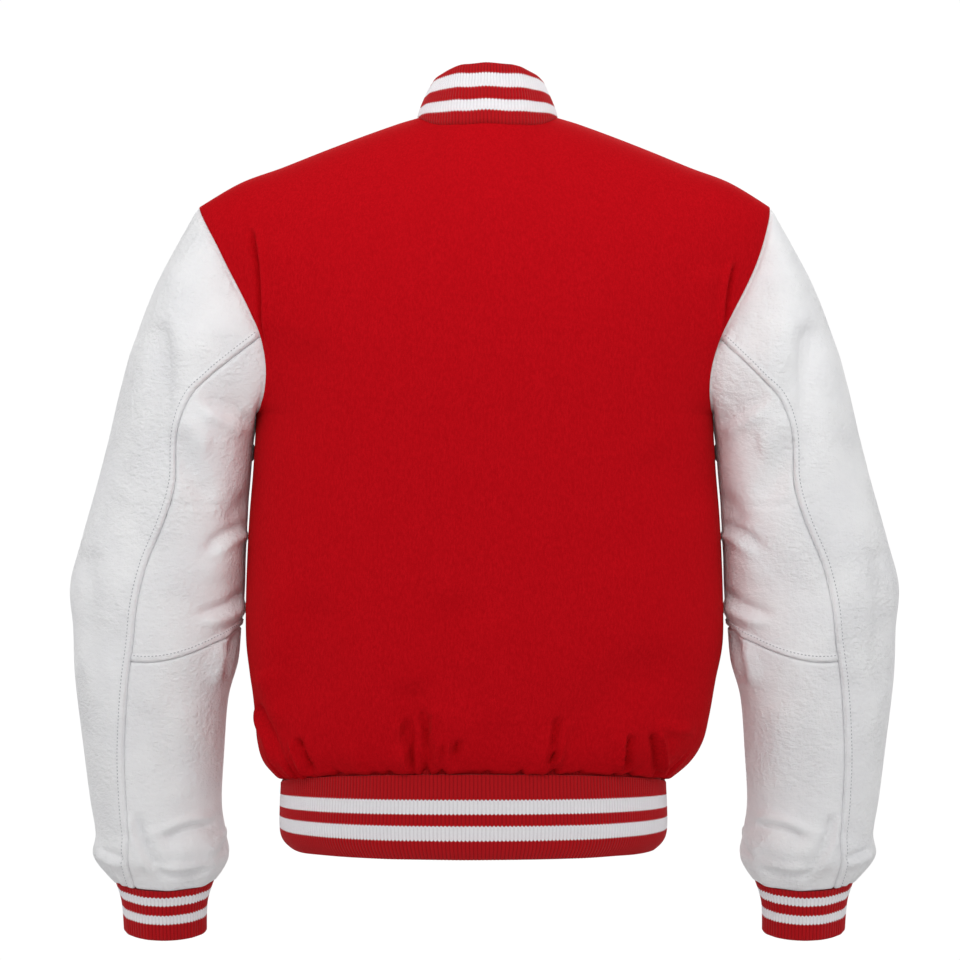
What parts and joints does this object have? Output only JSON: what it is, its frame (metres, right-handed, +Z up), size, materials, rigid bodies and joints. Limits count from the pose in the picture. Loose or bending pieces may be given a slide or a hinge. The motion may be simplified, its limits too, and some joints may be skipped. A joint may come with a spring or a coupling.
{
  "type": "varsity jacket",
  "caption": "Varsity jacket, filled out as worn, with a wool body, leather sleeves, striped rib-knit collar, cuffs and hem band, and a snap front.",
  "frame": {"origin": "middle of the neck opening, level with its side points, where the wearer's neck and shoulders hold the jacket", "axes": "+Z up, +Y out of the jacket's back, +X to the wearer's left"},
  "size_m": [0.743, 0.2572, 0.783],
  "materials": {
    "wool": "red melton wool with a short nap",
    "leather": "white grained leather, semi-matt",
    "rib_knit": "red rib knit with two white stripes",
    "snap": "white enamelled snap cap"
  },
  "bodies": {
    "root": {"back": "wool", "front_left": "wool", "front_right": "wool", "sleeve_left_top": "leather", "sleeve_left_under": "leather", "sleeve_left_forearm": "leather", "sleeve_right_top": "leather", "sleeve_right_under": "leather", "sleeve_right_forearm": "leather", "collar": "rib_knit", "hem_band": "rib_knit", "cuff_left": "rib_knit", "cuff_right": "rib_knit", "snap_1": "snap", "snap_2": "snap", "snap_3": "snap", "snap_4": "snap", "snap_5": "snap", "snap_6": "snap", "snap_7": "snap"}
  },
  "joints": []
}
